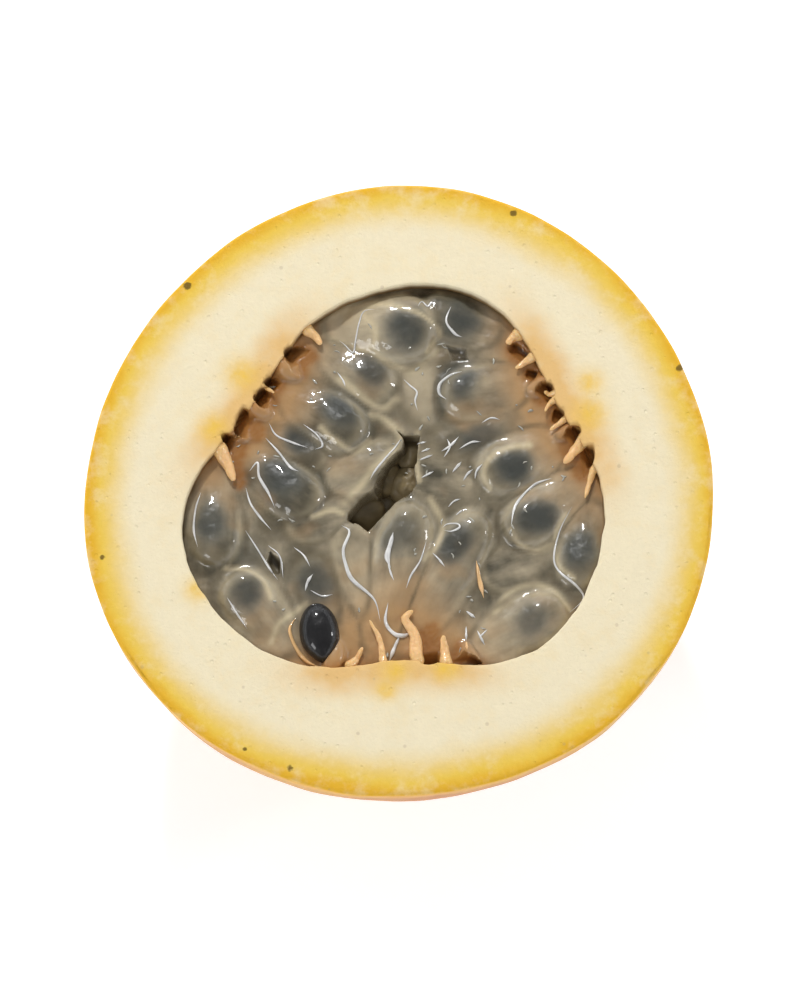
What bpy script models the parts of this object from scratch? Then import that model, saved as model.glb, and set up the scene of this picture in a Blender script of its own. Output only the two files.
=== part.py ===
"""Half of a passion fruit, cut across and resting on its blossom end with the cut face up.

Two solids: the rind, which is the skin, the thick pith and the stalks on its inner wall, and the
pulp, which is the heap of seed sacs that fills the rind. The origin is the middle of the resting
spot, +Z is up through the cut face, and -Y is the side that faces the viewer.
"""

import math

import bmesh
import bpy
from mathutils import Matrix, Vector

MM = 0.001

# Rind: a round body, a little flat at the blossom end
FACE_RADIUS = 37.0 * MM
HALF_LENGTH = 46.0 * MM
REST_RADIUS = 8.0 * MM
BODY_POWER = 2.1
SKIN_EDGE = 0.5 * MM
BODY_ROWS = 18
AROUND = 72

# Hollow in the rind, which the pulp fills
HOLLOW_RADIUS = 23.5 * MM
HOLLOW_DEPTH = 33.0 * MM
HOLLOW_POWER = 2.5
LIP = 0.8 * MM
HOLLOW_ROWS = 11
GAP = 0.3 * MM

# How far each outline swells from round: waves in a turn, height, and where one crest lies
BODY_WAVES = ((2, 0.35 * MM, 26), (3, 0.5 * MM, 87))
HOLLOW_WAVES = ((2, 0.8 * MM, 28), (3, 2.4 * MM, 86), (6, 0.5 * MM, 3))

# Stalks: each carries one sac, and they stand in three rows, one up the middle of each row of sacs
STALK_ROWS = ((30, 25), (148, 27), (268, 27))
STALKS_IN_ROW = 7
STALK_LENGTH = 3.6 * MM
STALK_ROOT = 1.0 * MM
STALK_TIP = 0.5 * MM
STALK_DROP = 1.9 * MM
STALK_SIDES = 7

# Core of the heap, and the slit that opens between the three rows of sacs
CORE_DROP = 4.0 * MM
SLIT_AT = (-1.9 * MM, 1.5 * MM)
SLIT_LENGTH = 13.0 * MM
SLIT_WIDTH = 4.6 * MM
SLIT_DEPTH = 16.0 * MM
SLIT_TURN = 62

# Sacs that show: bearing of the root on the wall in degrees, tip X, tip Y, width and how far the
# back of the sac stands above the cut face, all in millimetres
SACS = (
    (115, 4.6, 18.0, 8.2, 0.2),
    (55, 1.9, 21.2, 7.6, -1.7),
    (121, -1.3, 11.2, 8.2, -0.6),
    (41, 4.8, 11.4, 8.2, 0.1),
    (84, 2.2, 7.4, 8.6, -1.8),
    (137, -4.2, 6.2, 8.2, 0.2),
    (153, -8.6, 3.4, 6.8, -0.8),
    (165, -9.4, -2.4, 8.4, 0.2),
    (180, -13.4, -8.2, 7.0, -1.5),
    (172, -21.2, -8.8, 7.2, -0.2),
    (202, -14.0, -7.8, 7.4, -1.4),
    (237, -20.0, -9.4, 8.2, 0.1),
    (226, -15.4, -10.6, 7.4, -1.4),
    (243, -9.2, -12.4, 7.8, -1.5),
    (249, -11.0, -6.6, 8.0, -0.9),
    (265, -6.4, -3.2, 7.6, -0.5),
    (262, 3.0, -0.8, 8.4, 0.5),
    (275, 11.0, -2.4, 8.0, 0.3),
    (33, 2.8, 5.0, 7.6, -0.9),
    (19, 9.4, 1.4, 8.4, 0.3),
    (5, 12.6, -5.6, 7.8, 0.3),
    (358, 20.2, -11.4, 6.8, -0.2),
    (287, 11.8, -8.6, 7.4, -1.4),
    (293, 19.8, -13.2, 8.6, 0.1),
    (330, 15.6, -8.4, 7.2, -1.3),
    (257, -5.0, -10.6, 6.8, -1.5),
    (281, 5.8, -11.4, 6.4, -1.7),
)
SAC_ROOT = 1.6 * MM
SAC_TAPER = 0.34
SAC_PLUMP = 2.4
SAC_SIDES = 12
SAC_ROWS = 8

# Clear sacs with no root in sight, which lie against the slit: X, Y, length, width, bearing, rise
LOOSE_SACS = (
    (-4.6, 2.8, 10.4, 7.4, 205, -0.8),
    (-9.2, -2.6, 9.6, 7.8, 10, -1.0),
    (5.8, 1.8, 10.4, 7.4, 350, -1.2),
    (9.2, -1.6, 10.4, 8.0, 330, -1.8),
    (-15.6, -1.8, 11.4, 8.4, 125, -1.8),
    (13.8, -8.6, 9.6, 7.0, 15, -1.2),
    (5.0, 15.4, 10.0, 7.6, 190, -2.2),
)

# The one bare seed, lying in its opened sac
SEED_AT = (-9.5, -17.2)
SEED_SIZE = (4.6 * MM, 7.2 * MM, 3.4 * MM)
SEED_LEAN = 8
SEED_RISE = 0.6 * MM


def swell(waves, bearing):
    """How far an outline stands out from its mean radius at a bearing in radians."""
    return sum(
        height * math.cos(count * (bearing - math.radians(crest)))
        for count, height, crest in waves
    )


def hollow_reach(bearing, depth=0.0):
    """Radius of the hollow at a bearing in radians, at a depth below the cut face."""
    share = (1 - (depth / HOLLOW_DEPTH) ** HOLLOW_POWER) ** (1 / HOLLOW_POWER)
    return (HOLLOW_RADIUS + swell(HOLLOW_WAVES, bearing)) * share


def body_profile():
    """Radius and height down the skin, from the middle of the cut face to the resting spot."""
    share = (REST_RADIUS / FACE_RADIUS) ** BODY_POWER
    long_radius = HALF_LENGTH / (1 - share) ** (1 / BODY_POWER)
    points = [(0, HALF_LENGTH), (FACE_RADIUS - SKIN_EDGE, HALF_LENGTH)]
    lowest = math.acos(REST_RADIUS / FACE_RADIUS)
    for row in range(1, BODY_ROWS + 1):
        turn = lowest * row / BODY_ROWS
        radius = FACE_RADIUS * math.cos(turn)
        drop = long_radius * (1 - math.cos(turn) ** BODY_POWER) ** (1 / BODY_POWER)
        points.append((radius, HALF_LENGTH - drop))
    points.append((0, 0))
    return points


def hollow_profile(top, lip, inset):
    """Radius and height down the wall of the hollow, taken in by inset and closed at both ends."""
    points = [(0, top), (HOLLOW_RADIUS + lip - inset, top)]
    if lip:
        points.append((HOLLOW_RADIUS + lip - inset, HALF_LENGTH))
        points.append((HOLLOW_RADIUS + lip * 0.3 - inset, HALF_LENGTH - lip * 0.3))
    for row in range(1, HOLLOW_ROWS):
        turn = math.pi / 2 * row / HOLLOW_ROWS
        radius = HOLLOW_RADIUS * math.cos(turn)
        drop = HOLLOW_DEPTH * (1 - math.cos(turn) ** HOLLOW_POWER) ** (1 / HOLLOW_POWER)
        if HALF_LENGTH - drop < top - GAP:
            points.append((radius - inset * math.cos(turn), HALF_LENGTH - drop + inset * math.sin(turn)))
    points.append((0, HALF_LENGTH - HOLLOW_DEPTH + inset))
    return points


def turned(name, profile, waves, mean_radius, around=AROUND):
    """A solid turned about Z from a profile on the axis, then pushed out of round by the waves."""
    shape = bmesh.new()
    line = [shape.verts.new((radius, 0, height)) for radius, height in profile]
    edges = [shape.edges.new(pair) for pair in zip(line, line[1:])]
    bmesh.ops.spin(
        shape, geom=line + edges, cent=(0, 0, 0), axis=(0, 0, 1),
        angle=math.tau, steps=around, use_merge=True,
    )
    bmesh.ops.remove_doubles(shape, verts=shape.verts, dist=0.01 * MM)
    for vert in shape.verts:
        radius = math.hypot(vert.co.x, vert.co.y)
        if radius > 0:
            bearing = math.atan2(vert.co.y, vert.co.x)
            grown = 1 + swell(waves, bearing) / mean_radius
            vert.co.x *= grown
            vert.co.y *= grown
    bmesh.ops.recalc_face_normals(shape, faces=shape.faces)
    return as_object(name, shape)


def as_object(name, shape):
    """Turns a bmesh into an object in the scene."""
    mesh = bpy.data.meshes.new(name)
    shape.to_mesh(mesh)
    shape.free()
    made = bpy.data.objects.new(name, mesh)
    bpy.context.scene.collection.objects.link(made)
    return made


def sac(name, root, tip, width, height):
    """One seed sac: round at its tip, narrow at its root and a little flatter than it is wide."""
    shape = bmesh.new()
    bmesh.ops.create_uvsphere(shape, u_segments=SAC_SIDES, v_segments=SAC_ROWS, radius=1)
    along = tip - root
    for vert in shape.verts:
        on_sphere = math.sqrt(max(1 - vert.co.z**2, 1e-6))
        plump = max(1 - abs(vert.co.z) ** SAC_PLUMP, 0) ** (1 / SAC_PLUMP) / on_sphere
        girth = plump * (1 - SAC_TAPER * (1 - vert.co.z) / 2)
        vert.co.x *= girth * width / 2
        vert.co.y *= girth * height / 2
        vert.co.z *= along.length / 2
    ahead = along.normalized()
    side = Vector((0, 0, 1)).cross(ahead).normalized()
    turn = Matrix((side, ahead.cross(side), ahead)).transposed().to_4x4()
    shape.transform(Matrix.Translation((root + tip) / 2) @ turn)
    return as_object(name, shape)


def rooted_sacs():
    """The sacs that hang from the stalks, from the wall of the hollow to their tips."""
    for number, (bearing, tip_x, tip_y, width, rise) in enumerate(SACS):
        turn = math.radians(bearing)
        reach = hollow_reach(turn) - SAC_ROOT
        height = width * 0.8 * MM
        middle = HALF_LENGTH + rise * MM - height / 2
        root = Vector((reach * math.cos(turn), reach * math.sin(turn), middle - 1.2 * MM))
        tip = Vector((tip_x * MM, tip_y * MM, middle))
        yield sac(f"sac_{number}", root, tip, width * MM, height)


def loose_sacs():
    """The clear sacs that close in on the slit."""
    for number, (x, y, length, width, bearing, rise) in enumerate(LOOSE_SACS):
        height = width * 0.8 * MM
        middle = Vector((x * MM, y * MM, HALF_LENGTH + rise * MM - height / 2))
        turn = math.radians(bearing)
        half = Vector((math.cos(turn), math.sin(turn), 0)) * length * MM / 2
        yield sac(f"loose_sac_{number}", middle + half, middle - half, width * MM, height)


def bare_seed():
    """The seed that lies open to view."""
    shape = bmesh.new()
    bmesh.ops.create_uvsphere(shape, u_segments=SAC_SIDES, v_segments=SAC_ROWS, radius=0.5)
    at = Vector((SEED_AT[0] * MM, SEED_AT[1] * MM, HALF_LENGTH + SEED_RISE - SEED_SIZE[2] / 2))
    lean = Matrix.Rotation(math.radians(SEED_LEAN), 4, "Z")
    shape.transform(Matrix.Translation(at) @ lean @ Matrix.Diagonal((*SEED_SIZE, 1)))
    return as_object("bare_seed", shape)


def stalk_bearings():
    """Where each stalk stands on the wall, in radians, closer together towards the ends."""
    for middle, spread in STALK_ROWS:
        for number in range(STALKS_IN_ROW):
            share = 2 * number / (STALKS_IN_ROW - 1) - 1
            yield math.radians(middle + spread * math.sin(share * math.pi / 2.4))


def stalk(name, bearing, fatter):
    """A tapered stalk from inside the wall to the sac that it carries."""
    shape = bmesh.new()
    length = STALK_LENGTH + 2 * fatter
    bmesh.ops.create_cone(
        shape, cap_ends=True, segments=STALK_SIDES, radius1=STALK_ROOT + fatter,
        radius2=STALK_TIP + fatter, depth=length,
    )
    reach = hollow_reach(bearing, STALK_DROP) - STALK_LENGTH / 2 + STALK_ROOT
    at = Vector((reach * math.cos(bearing), reach * math.sin(bearing), HALF_LENGTH - STALK_DROP))
    inwards = Vector((-math.cos(bearing), -math.sin(bearing), -0.12))
    shape.transform(Matrix.Translation(at) @ inwards.to_track_quat("Z", "Y").to_matrix().to_4x4())
    return as_object(name, shape)


def slit_cutter():
    """The gap down into the heap, long across the face and narrow."""
    shape = bmesh.new()
    bmesh.ops.create_uvsphere(shape, u_segments=16, v_segments=10, radius=0.5)
    size = Matrix.Diagonal((SLIT_LENGTH, SLIT_WIDTH, 2 * SLIT_DEPTH, 1))
    turn = Matrix.Rotation(math.radians(SLIT_TURN), 4, "Z")
    shape.transform(Matrix.Translation((*SLIT_AT, HALF_LENGTH)) @ turn @ size)
    return as_object("slit", shape)


def combine(target, others, operation):
    """Applies one Boolean of target with a collection of the others, which are then removed."""
    group = bpy.data.collections.new(operation)
    for other in others:
        group.objects.link(other)
    modifier = target.modifiers.new(operation, "BOOLEAN")
    modifier.operation = operation
    modifier.operand_type = "COLLECTION"
    modifier.collection = group
    modifier.solver = "MANIFOLD" if operation == "DIFFERENCE" else "EXACT"
    graph = bpy.context.evaluated_depsgraph_get()
    joined = bpy.data.meshes.new_from_object(target.evaluated_get(graph))
    target.modifiers.clear()
    target.data = joined
    for other in list(group.objects):
        bpy.data.objects.remove(other)
    bpy.data.collections.remove(group)


def keep_inside(target, room):
    """Trims target to the room, which is then removed."""
    modifier = target.modifiers.new("room", "BOOLEAN")
    modifier.operation = "INTERSECT"
    modifier.object = room
    modifier.solver = "MANIFOLD"
    graph = bpy.context.evaluated_depsgraph_get()
    trimmed = bpy.data.meshes.new_from_object(target.evaluated_get(graph))
    target.modifiers.clear()
    target.data = trimmed
    bpy.data.objects.remove(room)


def keep_largest(part):
    """Drops the loose scraps that a cut leaves, and fills any hollow that the union sealed."""
    shape = bmesh.new()
    shape.from_mesh(part.data)
    waiting = set(shape.verts)
    largest = set()
    while waiting:
        island = {waiting.pop()}
        edge_of_island = set(island)
        while edge_of_island:
            near = {edge.other_vert(vert) for vert in edge_of_island for edge in vert.link_edges}
            edge_of_island = near - island
            island |= edge_of_island
        waiting -= island
        largest = max(largest, island, key=len)
    scraps = [vert for vert in shape.verts if vert not in largest]
    bmesh.ops.delete(shape, geom=scraps, context="VERTS")
    shape.to_mesh(part.data)
    shape.free()


def finish(part, colour, roughness):
    """Smooth shading and a plain material."""
    material = bpy.data.materials.new(part.name)
    material.use_nodes = True
    surface = material.node_tree.nodes["Principled BSDF"]
    surface.inputs["Base Color"].default_value = (*colour, 1)
    surface.inputs["Roughness"].default_value = roughness
    surface.inputs["Metallic"].default_value = 0
    part.data.materials.clear()
    part.data.materials.append(material)
    part.data.shade_smooth()
    part.data.set_sharp_from_angle(angle=math.radians(40))


def make_rind():
    """Skin, pith and stalks in one solid."""
    rind = turned("rind", body_profile(), BODY_WAVES, FACE_RADIUS)
    over = HALF_LENGTH + 5 * MM
    hollow = turned("hollow", hollow_profile(over, LIP, 0), HOLLOW_WAVES, HOLLOW_RADIUS)
    combine(rind, [hollow], "DIFFERENCE")
    stalks = [stalk(f"stalk_{n}", bearing, 0) for n, bearing in enumerate(stalk_bearings())]
    combine(rind, stalks, "UNION")
    finish(rind, (0.92, 0.78, 0.42), 0.45)
    return rind


def make_pulp():
    """The heap of sacs on its core, trimmed to the hollow and clear of the stalks."""
    pulp = turned(
        "pulp", hollow_profile(HALF_LENGTH - CORE_DROP, 0, 2 * GAP), HOLLOW_WAVES, HOLLOW_RADIUS, AROUND // 2
    )
    combine(pulp, [slit_cutter()], "DIFFERENCE")
    combine(pulp, [*rooted_sacs(), *loose_sacs(), bare_seed()], "UNION")
    over = HALF_LENGTH + 5 * MM
    keep_inside(pulp, turned("room", hollow_profile(over, 0, GAP), HOLLOW_WAVES, HOLLOW_RADIUS))
    room_for_stalks = [
        stalk(f"clear_{n}", bearing, GAP) for n, bearing in enumerate(stalk_bearings())
    ]
    combine(pulp, room_for_stalks, "DIFFERENCE")
    keep_largest(pulp)
    finish(pulp, (0.24, 0.21, 0.16), 0.2)
    return pulp


def main():
    for old in list(bpy.data.objects):
        bpy.data.objects.remove(old)
    fruit = bpy.data.collections.new("passion_fruit_half")
    bpy.context.scene.collection.children.link(fruit)
    for part in (make_rind(), make_pulp()):
        bpy.context.scene.collection.objects.unlink(part)
        fruit.objects.link(part)


main()
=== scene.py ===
"""Half of a passion fruit: rind, seed sacs, stalks and the bare seed, finished for a close look."""

import math
import random

import bmesh
import bpy
import numpy as np
from bpy.props import FloatProperty, FloatVectorProperty, IntProperty, PointerProperty
from bpy.types import Operator, Panel, PropertyGroup
from mathutils import Matrix, Vector, noise
from mathutils.bvhtree import BVHTree


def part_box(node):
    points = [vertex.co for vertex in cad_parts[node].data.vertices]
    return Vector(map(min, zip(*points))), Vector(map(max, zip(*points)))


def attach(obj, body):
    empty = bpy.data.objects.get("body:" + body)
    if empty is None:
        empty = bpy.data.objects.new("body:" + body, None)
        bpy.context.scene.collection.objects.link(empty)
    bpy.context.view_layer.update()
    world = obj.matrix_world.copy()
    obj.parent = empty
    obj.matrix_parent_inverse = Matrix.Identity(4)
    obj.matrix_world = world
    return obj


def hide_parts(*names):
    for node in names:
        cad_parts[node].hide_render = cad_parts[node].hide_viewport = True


bl_info = {
    "name": "Passion Fruit Half",
    "version": (1, 0, 0),
    "blender": (4, 5, 0),
    "location": "View3D > Sidebar > Fruit",
    "description": "Builds the cut half of a passion fruit with its rind, seed sacs and stalks",
    "category": "Object",
}

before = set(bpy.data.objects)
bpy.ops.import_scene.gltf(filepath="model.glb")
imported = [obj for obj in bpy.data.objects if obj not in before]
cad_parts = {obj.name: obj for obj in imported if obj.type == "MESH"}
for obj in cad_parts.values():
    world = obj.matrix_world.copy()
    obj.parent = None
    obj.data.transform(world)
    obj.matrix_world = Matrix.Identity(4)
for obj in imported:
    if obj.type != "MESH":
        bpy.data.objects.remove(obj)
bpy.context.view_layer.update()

MM = 0.001
FACE_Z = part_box("rind")[1].z

# Outline swellings: waves in a turn, height, and where one crest lies in degrees
BODY_WAVES = ((2, 0.35 * MM, 26), (3, 0.5 * MM, 87))
HOLLOW_WAVES = ((2, 0.8 * MM, 28), (3, 2.4 * MM, 86), (6, 0.5 * MM, 3))

# How full the side of the body and of the hollow is: 2 for an ellipse, more for a squarer one
BODY_POWER = 2.1
HOLLOW_POWER = 2.5

# How ragged the edge of the hollow, the cut face and the skin are
TORN_EDGE = 0.22 * MM
FACE_GRAIN = 0.05 * MM
SKIN_GRAIN = 0.22 * MM

# Bearings of the three rows of stalks in degrees, and half the span of a row in radians
PLACENTAS = (29, 146, 267)
PLACENTA_SPAN = 0.5

# A sac: how full its outline is, its girth at the root as a share of that at the tip, its height as a
# share of its width, and how flat its back is, from 1 for a round one down
SAC_POWER = 2.4
SAC_ROOT = 0.66
SAC_HEIGHT = 0.8
SAC_BACK = 0.72

# The look of the sacs goes by a level that is 1 on a sac's skin and less inside it. The core shows
# beyond its own level, the pale edge, partly painted light, lies at another, and the border says how
# sharply one sac's look gives way to the next
CORE_LEVEL = 1.25
CORE_PALENESS = 0.4
EDGE_LEVEL = 0.88
EDGE_WIDTH = 0.12
BORDER = 26

# How far the strands in one sac are shifted from those in the next, in millimetres
STRAND_SHIFT = 20

# Seed sacs that hang from the wall: bearing of the root in degrees, tip X, tip Y, width and rise of
# the back above the cut face in millimetres, and how pale its jelly is, from 0 to 1 or a little over
SACS = (
    (111, 4.8, 20.1, 10.8, 0.7, 0.8),
    (58, 1.6, 22.4, 9.0, -0.1, 0.2),
    (84, 2.4, 21.6, 7.6, -0.5, 0.1),
    (121, -0.6, 12.2, 8.4, -0.5, 0.6),
    (41, 4.8, 11.4, 8.2, 0.1, 0.45),
    (84, 2.2, 7.6, 8.6, -1.3, 1.3),
    (137, -4.2, 6.2, 8.2, 0.2, 0.2),
    (153, -8.6, 3.4, 6.8, -0.8, 0.35),
    (165, -9.4, -2.4, 8.4, 0.2, 0.15),
    (180, -13.4, -8.2, 7.0, -1.5, 0.1),
    (173, -22.0, -9.0, 8.0, 0.0, 0.35),
    (202, -14.0, -7.8, 7.4, -1.4, 0.35),
    (235, -20.2, -9.6, 8.6, 0.2, 0.6),
    (226, -15.4, -10.6, 7.4, -1.4, 0.8),
    (243, -9.2, -12.4, 7.8, -1.5, 0.5),
    (249, -11.0, -6.6, 8.0, -0.9, 0.4),
    (265, -6.4, -3.2, 7.6, -0.5, 0.9),
    (262, 1.8, -0.8, 8.6, 0.5, 0.6),
    (271, 9.8, -2.2, 8.0, 0.3, 0.55),
    (33, 2.8, 5.0, 7.6, -0.9, 0.4),
    (19, 9.4, 1.4, 8.4, 0.3, 0.55),
    (5, 12.6, -5.6, 7.8, 0.3, 0.5),
    (357, 21.0, -11.6, 7.6, 0.0, 0.45),
    (287, 11.8, -8.6, 7.4, -1.4, 0.1),
    (294, 20.0, -13.4, 9.2, 0.2, 0.7),
    (330, 15.6, -8.4, 7.2, -1.3, 0.1),
    (257, -5.0, -10.6, 6.8, -1.5, 0.7),
    (281, 5.8, -11.4, 6.4, -1.7, 0.5),
)

# Clear sacs with no root in sight: X, Y, length, width, bearing, rise and paleness
LOOSE_SACS = (
    (-4.6, 2.8, 10.4, 7.4, 205, -0.8, 0.5),
    (-9.2, -2.6, 9.6, 7.8, 10, -1.0, 0.4),
    (5.8, 1.8, 10.4, 7.4, 350, -1.2, 0.35),
    (9.2, -1.6, 10.4, 8.0, 330, -1.8, 0.5),
    (-15.6, -1.8, 11.4, 8.4, 125, -1.8, 0.2),
    (13.8, -8.6, 9.6, 7.0, 15, -1.2, 0.35),
    (5.0, 15.4, 10.0, 7.6, 190, -2.2, 0.3),
)

# Seeds that show through the jelly: X, Y, length and width in millimetres, bearing in degrees and
# how dark they look from 0 to 1
SEEDS = (
    (1.1, 19.5, 7.0, 6.6, 110, 0.85),
    (7.4, 21.2, 5.6, 5.0, 60, 0.8),
    (-3.3, 15.1, 5.8, 4.4, 130, 0.8),
    (6.8, 13.9, 5.4, 4.8, 70, 1.0),
    (-6.8, 10.1, 6.0, 4.8, 130, 0.95),
    (-11.9, 6.4, 5.2, 3.6, 145, 0.85),
    (-14.2, 1.9, 6.0, 4.6, 140, 0.95),
    (-22.4, -3.6, 6.2, 4.4, 95, 0.75),
    (-17.8, -7.2, 5.0, 4.0, 110, 0.45),
    (-18.3, -12.0, 5.6, 5.0, 80, 0.8),
    (-10.2, -10.6, 6.4, 5.0, 110, 0.75),
    (-0.5, -5.0, 7.0, 5.2, 58, 0.6),
    (6.3, -6.0, 6.4, 4.6, 60, 0.95),
    (9.6, 6.8, 6.2, 3.8, 25, 0.75),
    (13.3, 3.3, 5.0, 4.8, 20, 1.0),
    (16.1, -3.1, 6.2, 4.4, 15, 1.0),
    (21.2, -6.9, 5.4, 4.4, 80, 0.9),
    (15.5, -15.2, 5.8, 5.2, 50, 0.6),
)

# Stalks on the wall: thickness, then points X, Y from the root to the tip in millimetres
STALKS = (
    (1.1, (-11.5, 20.2), (-10.3, 19.2), (-9.4, 18.0)),
    (0.5, (-17.3, 13.7), (-16.1, 12.9), (-15.0, 12.1)),
    (1.4, (-21.8, 6.0), (-21.1, 4.7), (-20.2, 2.9), (-19.6, 1.4)),
    (1.2, (14.5, 19.6), (13.7, 19.0), (12.7, 18.1)),
    (0.9, (16.3, 16.8), (15.1, 16.0), (13.7, 15.0)),
    (0.6, (19.2, 12.6), (17.9, 12.0), (17.2, 12.2)),
    (0.7, (19.6, 12.0), (18.0, 11.0), (17.2, 9.8)),
    (0.8, (20.7, 9.7), (19.7, 9.0), (17.8, 7.6)),
    (1.4, (22.5, 7.0), (21.4, 5.9), (19.4, 3.5)),
    (0.9, (24.8, 5.0), (23.2, 3.1), (22.6, 1.7), (21.9, -0.7)),
    (0.8, (-6.4, -21.0), (-5.2, -20.0), (-4.4, -18.6)),
    (0.7, (-1.9, -21.0), (-2.1, -19.4), (-2.4, -17.6), (-3.6, -15.3)),
    (1.2, (2.2, -21.0), (1.9, -19.2), (1.7, -16.9), (0.6, -15.2), (1.5, -14.1)),
    (1.1, (5.5, -21.0), (5.3, -19.2), (5.1, -17.1)),
)

# Broad roots of the sacs between the pits, in the same way, which fuse with the sacs
ROOTS = (
    (2.6, (-14.6, 16.4), (-13.2, 14.9), (-11.8, 13.6)),
    (2.6, (-18.6, 11.6), (-16.8, 10.3), (-15.2, 9.2)),
    (2.0, (-21.2, 8.6), (-19.4, 7.4), (-17.8, 6.4)),
    (2.6, (18.6, 13.9), (16.8, 13.0), (15.0, 12.2)),
    (2.0, (21.4, 8.2), (19.6, 7.2), (18.0, 6.6)),
    (2.4, (-8.6, -21.6), (-7.6, -19.6), (-7.2, -17.6)),
    (2.4, (8.8, -21.6), (8.2, -19.6), (7.8, -17.8)),
)

# Folds of clear skin that stand up between the sacs, their paleness a painted highlight: thickness,
# then points X, Y in millimetres
FOLDS = (
    (
        0.3, (-3.0, 22.3), (-4.3, 22.1), (-4.9, 20.6), (-5.3, 18.6), (-5.6, 17.2), (-6.5, 18.1),
        (-7.3, 18.8),
    ),
    (0.3, (2.1, 22.5), (2.6, 23.2), (3.3, 22.6), (3.8, 23.1), (4.3, 22.2)),
    (0.45, (6.1, 22.7), (5.5, 20.8), (6.5, 19.4), (7.4, 19.0)),
    (0.35, (0.4, 14.0), (1.2, 13.2), (2.0, 12.4), (1.8, 11.3), (2.1, 10.1)),
    (0.6, (7.4, 14.8), (6.1, 14.4), (4.8, 13.4), (4.7, 12.2), (5.5, 11.3)),
    (0.35, (-15.6, 8.6), (-14.7, 7.1), (-12.8, 6.2), (-10.9, 5.5)),
    (0.35, (-11.5, 8.4), (-9.8, 7.0), (-9.2, 5.8), (-10.1, 5.3)),
    (0.45, (-16.0, 6.8), (-14.3, 4.9), (-13.0, 3.1), (-12.0, 2.6)),
    (0.5, (-17.9, 2.7), (-16.9, 3.7), (-16.7, 2.0), (-15.6, 0.0), (-14.8, -1.8)),
    (0.4, (-18.3, 0.8), (-17.7, -1.2), (-16.6, -2.8), (-15.2, -4.4)),
    (0.3, (-7.5, 14.8), (-6.8, 13.8), (-6.5, 13.0)),
    (0.35, (-18.3, -4.4), (-16.9, -6.6), (-15.5, -8.9), (-14.4, -10.4)),
    (0.4, (-23.6, 0.2), (-24.2, -1.8), (-24.4, -4.4), (-23.9, -6.6)),
    (0.35, (-20.4, -12.6), (-19.3, -14.4), (-18.0, -16.3)),
    (
        0.65, (-6.9, -3.8), (-6.0, -4.7), (-6.7, -6.8), (-6.4, -8.6), (-5.6, -10.4), (-3.1, -12.7),
        (-2.3, -15.4),
    ),
    (0.9, (-0.8, -4.9), (-1.1, -6.2), (-1.5, -7.8), (-1.1, -9.2)),
    (0.35, (-1.5, -7.8), (-1.2, -9.4), (-0.7, -10.7)),
    (0.35, (3.1, -5.9), (2.4, -8.2), (1.3, -10.0), (0.7, -11.6)),
    (0.35, (5.0, -4.1), (5.6, -3.7), (6.8, -3.8), (7.0, -4.3), (6.0, -4.7), (5.1, -4.4)),
    (0.3, (5.7, -1.6), (6.4, -0.9), (7.2, -0.6)),
    (0.3, (6.6, -2.6), (7.5, -1.9)),
    (0.35, (3.8, -7.2), (4.6, -8.1), (5.3, -9.0)),
    (0.75, (-1.4, -13.2), (-1.7, -15.4), (-0.7, -16.8), (0.6, -17.0), (1.6, -16.2)),
    (0.65, (0.0, -17.0), (-0.7, -18.6), (-1.3, -20.2)),
    (0.5, (7.8, -14.1), (8.9, -14.9)),
    (0.4, (7.8, -15.9), (7.8, -17.7)),
    (0.4, (9.1, -16.4), (10.0, -18.2)),
    (0.3, (10.3, -16.3), (9.3, -17.3)),
    (0.5, (18.0, 1.9), (15.8, 1.0), (13.7, -1.5), (13.1, -4.3)),
    (
        0.4, (20.4, -1.5), (18.9, -4.5), (18.2, -7.7), (18.9, -9.5), (21.1, -11.4), (21.6, -12.7),
        (19.8, -14.5),
    ),
    (0.45, (6.2, 2.6), (7.3, 3.9)),
    (0.4, (7.5, 1.6), (8.0, 2.4), (8.7, 3.0)),
    (0.45, (8.9, 1.8), (9.1, 2.7), (9.8, 3.5)),
    (0.35, (7.0, 5.4), (8.4, 6.2), (9.6, 6.3)),
    (0.35, (5.2, 4.4), (5.9, 5.6), (5.6, 6.6)),
    (0.3, (9.7, 8.6), (10.8, 9.2), (11.9, 9.0)),
    (0.3, (-12.6, -6.4), (-11.4, -7.4), (-10.6, -8.8)),
    (0.5, (-11.2, -11.7), (-10.9, -10.6), (-10.3, -9.7)),
    (0.3, (-15.6, -6.2), (-14.2, -7.6), (-13.8, -10.2)),
    (0.35, (0.1, 6.7), (-0.7, 5.5), (-2.8, 2.9), (-3.6, 1.6)),
    (0.3, (2.0, 6.1), (3.1, 6.3)),
    (0.3, (2.5, 5.1), (3.6, 5.5)),
    (0.35, (2.3, 4.1), (3.9, 4.7)),
    (0.35, (2.5, 1.9), (4.0, 2.7)),
    (0.4, (4.9, 5.1), (6.0, 5.8), (7.0, 6.9)),
    (0.3, (-10.6, -11.6), (-9.2, -12.3), (-7.9, -12.1)),
)

# The same in orange: a loose stalk and the torn edge of the sac that the bare seed came out of
ORANGE_FOLDS = (
    (0.8, (9.0, -8.2), (9.4, -10.4), (9.9, -12.6)),
    (0.45, (7.8, -17.8), (7.9, -18.9)),
    (0.7, (-12.3, -14.9), (-13.0, -16.4), (-12.2, -18.6), (-10.9, -20.2), (-9.0, -20.9)),
)

# Height of the lowest fold that is kept, from the cut face
LOWEST_FOLD = -2.2 * MM

# Small wrinkles scattered over the jelly, painted pale as highlights: how many, in what radius and how
# far from the bare seed in millimetres, and the seed of their random places
GLINTS = 80
GLINT_REACH = 20.5
GLINT_SPACE = 4.2
GLINT_SEED = 11

# The bare seed: X, Y of its middle, its width, length and thickness and how far its middle lies below
# the cut face in millimetres, and its lean in degrees
BARE_SEED = Vector((-9.5, -16.8))
BARE_SEED_SIZE = (4.7, 7.2, 3.4)
BARE_SEED_DROP = 1.4
BARE_SEED_LEAN = 8
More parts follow.
